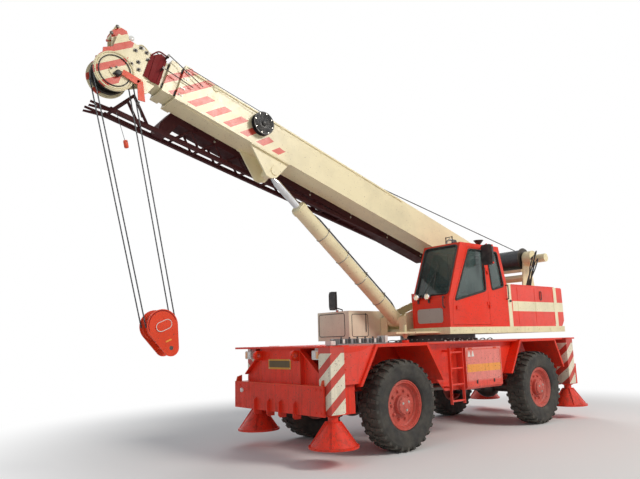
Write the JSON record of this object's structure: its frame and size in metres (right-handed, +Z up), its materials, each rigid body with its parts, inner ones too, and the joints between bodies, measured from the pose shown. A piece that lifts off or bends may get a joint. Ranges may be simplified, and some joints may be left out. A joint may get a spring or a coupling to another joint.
{
  "type": "mobile crane",
  "caption": "Rough-terrain mobile crane: slewing cab, telescopic boom with stowed lattice jib, hook block, sliding outriggers and steered wheels.",
  "frame": {"origin": "on the ground, under the slew axis", "axes": "+X forward along the boom, +Y to the left (the cab side), +Z up along the slew axis"},
  "size_m": [10.1595, 2.9648, 6.0064],
  "materials": {
    "black": "satin black paint",
    "block_red": "red paint, chipped",
    "carrier_red": "semi-gloss orange-red paint",
    "chrome": "hard-chromed rod",
    "cream": "semi-gloss cream paint",
    "engine": "plain casting",
    "glass": "tinted safety glass",
    "jib_maroon": "dark maroon paint",
    "lamp": "amber and red lamp lenses",
    "rim_red": "faded red paint",
    "rope": "greased wire rope",
    "seat": "dark woven seat cloth",
    "steel": "worn oily steel",
    "striped": "cream paint with red diagonal stripes",
    "tyre": "weathered black rubber",
    "valve_grey": "grey valve castings and hoses"
  },
  "bodies": {
    "carrier": {"carrier_frame": "carrier_red", "front_outrigger_box": "carrier_red", "rear_outrigger_box": "carrier_red", "front_panel": "carrier_red", "rear_panel": "carrier_red", "carrier_lamps": "lamp", "deck": "carrier_red", "fenders": "carrier_red", "side_panels": "carrier_red", "valve_bank": "valve_grey", "front_axle": "steel", "rear_axle": "steel", "driveline": "steel", "slew_ring": "steel"},
    "knuckle_fl": {"knuckle_fl": "steel"},
    "wheel_fl": {"rim_fl": "rim_red", "tyre_fl": "tyre"},
    "knuckle_fr": {"knuckle_fr": "steel"},
    "wheel_fr": {"rim_fr": "rim_red", "tyre_fr": "tyre"},
    "knuckle_rl": {"knuckle_rl": "steel"},
    "wheel_rl": {"rim_rl": "rim_red", "tyre_rl": "tyre"},
    "knuckle_rr": {"knuckle_rr": "steel"},
    "wheel_rr": {"rim_rr": "rim_red", "tyre_rr": "tyre"},
    "outrigger_fl": {"outrigger_beam_fl": "striped"},
    "jack_fl": {"jack_leg_fl": "carrier_red"},
    "outrigger_fr": {"outrigger_beam_fr": "striped"},
    "jack_fr": {"jack_leg_fr": "carrier_red"},
    "outrigger_rl": {"outrigger_beam_rl": "striped"},
    "jack_rl": {"jack_leg_rl": "carrier_red"},
    "outrigger_rr": {"outrigger_beam_rr": "striped"},
    "jack_rr": {"jack_leg_rr": "carrier_red"},
    "superstructure": {"turret_frame": "cream", "cab_shell": "carrier_red", "cab_glass": "glass", "cab_seat": "seat", "cab_console": "black", "cab_fittings": "black", "rear_body": "carrier_red", "counterweight": "carrier_red", "engine_block": "engine", "side_box": "cream", "winch_frame": "cream"},
    "cab_door": {"cab_door": "carrier_red", "door_glass": "glass"},
    "boom_base": {"boom_base": "cream", "cable_reel": "black", "jib": "jib_maroon"},
    "lift_barrel": {"lift_barrel": "cream"},
    "lift_rod": {"lift_rod": "chrome"},
    "boom_mid": {"boom_mid": "cream"},
    "boom_tip": {"boom_tip": "cream", "head_sheaves": "steel"},
    "winch_drum": {"winch_drum": "rope"},
    "falls": {"hoist_falls": "rope"},
    "hook_block": {"hook_block": "block_red"},
    "hook": {"hook": "steel"}
  },
  "joints": [
    {"name": "steer_fl", "type": "hinge", "parent": "carrier", "child": "knuckle_fl", "pos_m": [2.33, 0.79, 0.685], "axis": [0, 0, 1], "range_deg": [-26, 26]},
    {"name": "wheel_turn_fl", "type": "hinge", "parent": "knuckle_fl", "child": "wheel_fl", "pos_m": [2.33, 1.05, 0.685], "axis": [0, 1, 0], "continuous": true},
    {"name": "steer_fr", "type": "hinge", "parent": "carrier", "child": "knuckle_fr", "pos_m": [2.33, -0.79, 0.685], "axis": [0, 0, 1], "range_deg": [-26, 26]},
    {"name": "wheel_turn_fr", "type": "hinge", "parent": "knuckle_fr", "child": "wheel_fr", "pos_m": [2.33, -1.05, 0.685], "axis": [0, 1, 0], "continuous": true},
    {"name": "steer_rl", "type": "hinge", "parent": "carrier", "child": "knuckle_rl", "pos_m": [-1.53, 0.79, 0.685], "axis": [0, 0, 1], "range_deg": [-26, 26]},
    {"name": "wheel_turn_rl", "type": "hinge", "parent": "knuckle_rl", "child": "wheel_rl", "pos_m": [-1.53, 1.05, 0.685], "axis": [0, 1, 0], "continuous": true},
    {"name": "steer_rr", "type": "hinge", "parent": "carrier", "child": "knuckle_rr", "pos_m": [-1.53, -0.79, 0.685], "axis": [0, 0, 1], "range_deg": [-26, 26]},
    {"name": "wheel_turn_rr", "type": "hinge", "parent": "knuckle_rr", "child": "wheel_rr", "pos_m": [-1.53, -1.05, 0.685], "axis": [0, 1, 0], "continuous": true},
    {"name": "outrigger_slide_fl", "type": "slide", "parent": "carrier", "child": "outrigger_fl", "axis": [0, 1, 0], "range_m": [0, 1.25]},
    {"name": "jack_slide_fl", "type": "slide", "parent": "outrigger_fl", "child": "jack_fl", "axis": [0, 0, -1], "range_m": [0, 0.55]},
    {"name": "outrigger_slide_fr", "type": "slide", "parent": "carrier", "child": "outrigger_fr", "axis": [0, -1, 0], "range_m": [0, 1.25]},
    {"name": "jack_slide_fr", "type": "slide", "parent": "outrigger_fr", "child": "jack_fr", "axis": [0, 0, -1], "range_m": [0, 0.55]},
    {"name": "outrigger_slide_rl", "type": "slide", "parent": "carrier", "child": "outrigger_rl", "axis": [0, 1, 0], "range_m": [0, 1.25]},
    {"name": "jack_slide_rl", "type": "slide", "parent": "outrigger_rl", "child": "jack_rl", "axis": [0, 0, -1], "range_m": [0, 0.55]},
    {"name": "outrigger_slide_rr", "type": "slide", "parent": "carrier", "child": "outrigger_rr", "axis": [0, -1, 0], "range_m": [0, 1.25]},
    {"name": "jack_slide_rr", "type": "slide", "parent": "outrigger_rr", "child": "jack_rr", "axis": [0, 0, -1], "range_m": [0, 0.55]},
    {"name": "slew", "type": "hinge", "parent": "carrier", "child": "superstructure", "pos_m": [0, 0, 1.73], "axis": [0, 0, 1], "continuous": true},
    {"name": "cab_door_swing", "type": "hinge", "parent": "superstructure", "child": "cab_door", "pos_m": [-0.048, 1.216, 2.5], "axis": [0, 0, 1], "range_deg": [0, 90]},
    {"name": "boom_lift", "type": "hinge", "parent": "superstructure", "child": "boom_base", "pos_m": [-0.608, 0, 3.187], "axis": [0, -1, 0], "range_deg": [-14, 54]},
    {"name": "lift_barrel_tilt", "type": "hinge", "parent": "superstructure", "child": "lift_barrel", "pos_m": [1.124, 0, 2.005], "axis": [0, -1, 0], "range_deg": [-14.14, 53.1]},
    {"name": "lift_rod_stroke", "type": "slide", "parent": "lift_barrel", "child": "lift_rod", "axis": [0.7722, 0, 0.6354], "range_m": [-0.5, 1.9145]},
    {"name": "telescope", "type": "slide", "parent": "boom_base", "child": "boom_mid", "axis": [0.9558, 0, 0.294], "range_m": [0, 4.4]},
    {"name": "telescope_tip", "type": "slide", "parent": "boom_mid", "child": "boom_tip", "axis": [0.9558, 0, 0.294], "range_m": [0, 4.4]},
    {"name": "winch_turn", "type": "hinge", "parent": "superstructure", "child": "winch_drum", "pos_m": [-2.43, 0, 3.32], "axis": [0, 1, 0], "continuous": true},
    {"name": "falls_hang", "type": "hinge", "parent": "boom_tip", "child": "falls", "pos_m": [6.53964, 0, 5.30011], "axis": [0, -1, 0], "range_deg": [-41.7, 11.2]},
    {"name": "hoist", "type": "slide", "parent": "falls", "child": "hook_block", "axis": [0.2215, 0, 0.9751], "range_m": [-0.8, 2.3], "deforming": ["hoist_falls"]},
    {"name": "hook_tilt", "type": "hinge", "parent": "hook_block", "child": "hook", "pos_m": [5.65129, 0, 1.64085], "axis": [0, -1, 0], "range_deg": [0, 154]}
  ],
  "couplings": [
    {"joint": "steer_fr", "follows": "steer_fl", "ratio": 1},
    {"joint": "steer_rr", "follows": "steer_rl", "ratio": 1},
    {"joint": "lift_barrel_tilt", "follows": "boom_lift", "ratio": 0.974},
    {"joint": "lift_rod_stroke", "follows": "boom_lift", "m_per_rad": 2.026},
    {"joint": "telescope_tip", "follows": "telescope", "ratio": 1},
    {"joint": "falls_hang", "follows": "boom_lift", "ratio": -0.763}
  ]
}
